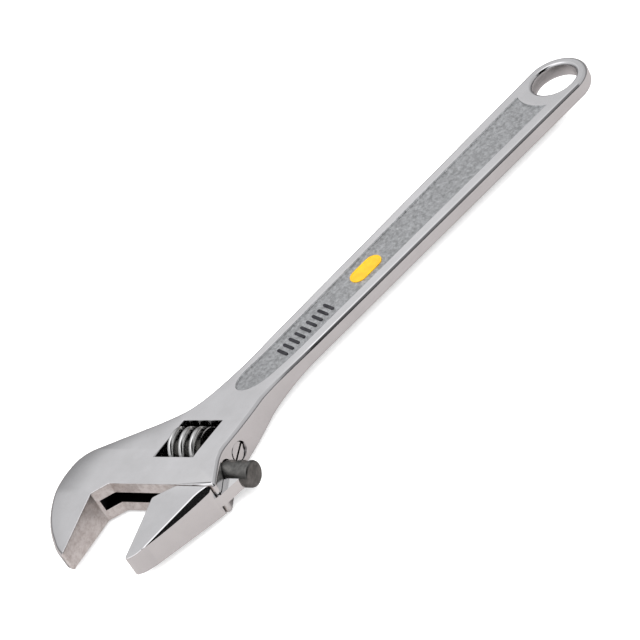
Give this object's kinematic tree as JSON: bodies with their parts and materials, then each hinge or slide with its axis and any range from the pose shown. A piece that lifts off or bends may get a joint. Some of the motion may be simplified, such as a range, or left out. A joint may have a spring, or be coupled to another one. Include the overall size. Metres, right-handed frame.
{
  "type": "adjustable wrench",
  "caption": "Chromed adjustable wrench with an angled head, a worm-driven sliding jaw and a slim recessed handle ending in a hang hole.",
  "frame": {"origin": "bottom centre of the tool's bounding box, as it lies on its back face", "axes": "+X along the handle from the head to the hang hole, -Y the way the movable jaw opens, +Z out of the front face"},
  "size_m": [0.3, 0.0764, 0.0192],
  "materials": {
    "polished_chrome": "polished",
    "dark_steel": "satin",
    "spring_steel": "satin",
    "yellow_enamel": "gloss"
  },
  "bodies": {
    "body": {"wrench_body": "polished_chrome", "worm_pin": "dark_steel", "handle_label": "yellow_enamel"},
    "jaw": {"movable_jaw": "polished_chrome"},
    "worm": {"adjusting_worm": "polished_chrome", "worm_spring": "spring_steel"}
  },
  "joints": [
    {"name": "jaw_slide", "type": "slide", "parent": "body", "child": "jaw", "axis": [0.3827, -0.9239, 0], "range_m": [-0.0299, 0.0027]},
    {"name": "worm_spin", "type": "hinge", "parent": "body", "child": "worm", "pos_m": [-0.08537, -0.00145, 0.0096], "axis": [0.3827, -0.9239, 0], "range_deg": [-200, 2200]}
  ],
  "couplings": [
    {"joint": "worm_spin", "follows": "jaw_slide", "rad_per_m": -1232}
  ]
}
